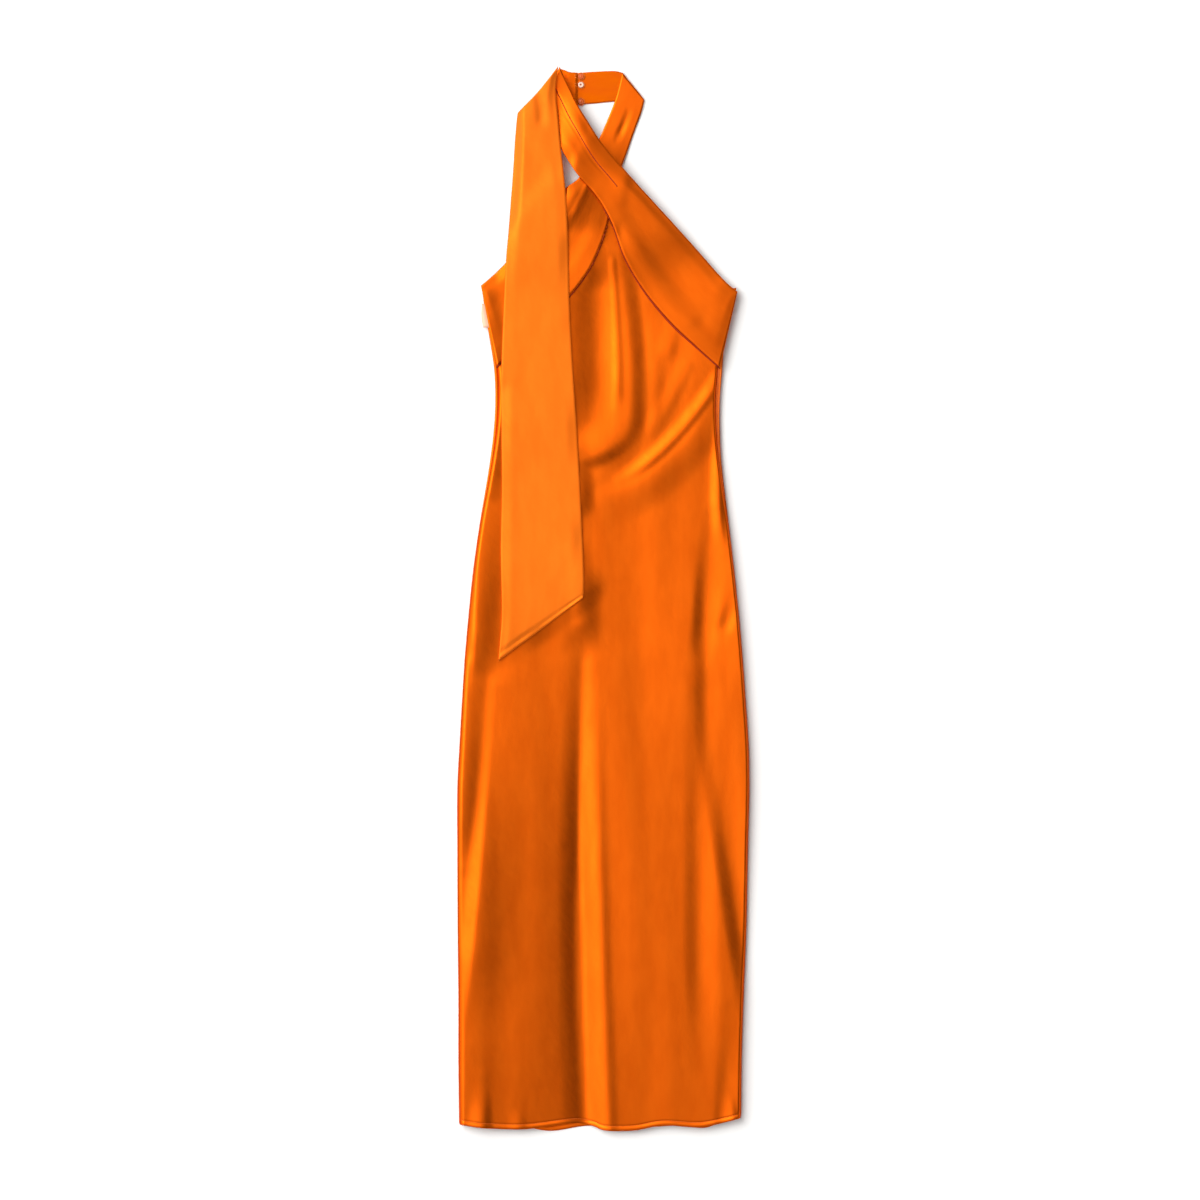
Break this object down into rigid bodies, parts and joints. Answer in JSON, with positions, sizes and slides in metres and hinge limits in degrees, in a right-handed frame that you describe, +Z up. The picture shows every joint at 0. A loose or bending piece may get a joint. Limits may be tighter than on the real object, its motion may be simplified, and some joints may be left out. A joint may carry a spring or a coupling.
{
  "type": "halter dress laid flat",
  "caption": "Long satin halter dress laid flat, with crossed straps, a button neck band, a cowl front and a hanging scarf end.",
  "frame": {"origin": "centre of the laid dress in plan, on the surface that it lies on", "axes": "+Y up the dress from the hem to the neck, +X to the right as seen from above, +Z up off the surface"},
  "size_m": [0.3992, 1.4517, 0.0172],
  "materials": {
    "satin": "orange satin, shiny face",
    "satin_bust": "orange satin, shiny face over an interlined panel",
    "satin_scarf": "orange satin, softer sheen",
    "satin_inner": "orange satin, matt inner face",
    "satin_back": "orange satin, back panel",
    "button_orange": "small orange button",
    "button_pale": "small pale button with an eye",
    "zip_tape": "woven zip tape",
    "ribbon": "pale ribbon"
  },
  "bodies": {
    "root": {"back_body": "satin_back", "front_body": "satin", "side_zip": "zip_tape", "bust_left": "satin_bust", "bust_right": "satin_bust", "neck_band": "satin_inner", "neck_tab": "satin_inner", "button_1": "button_orange", "button_2": "button_pale", "button_3": "button_orange", "scarf": "satin_scarf", "hanger_loop": "ribbon"}
  },
  "joints": []
}
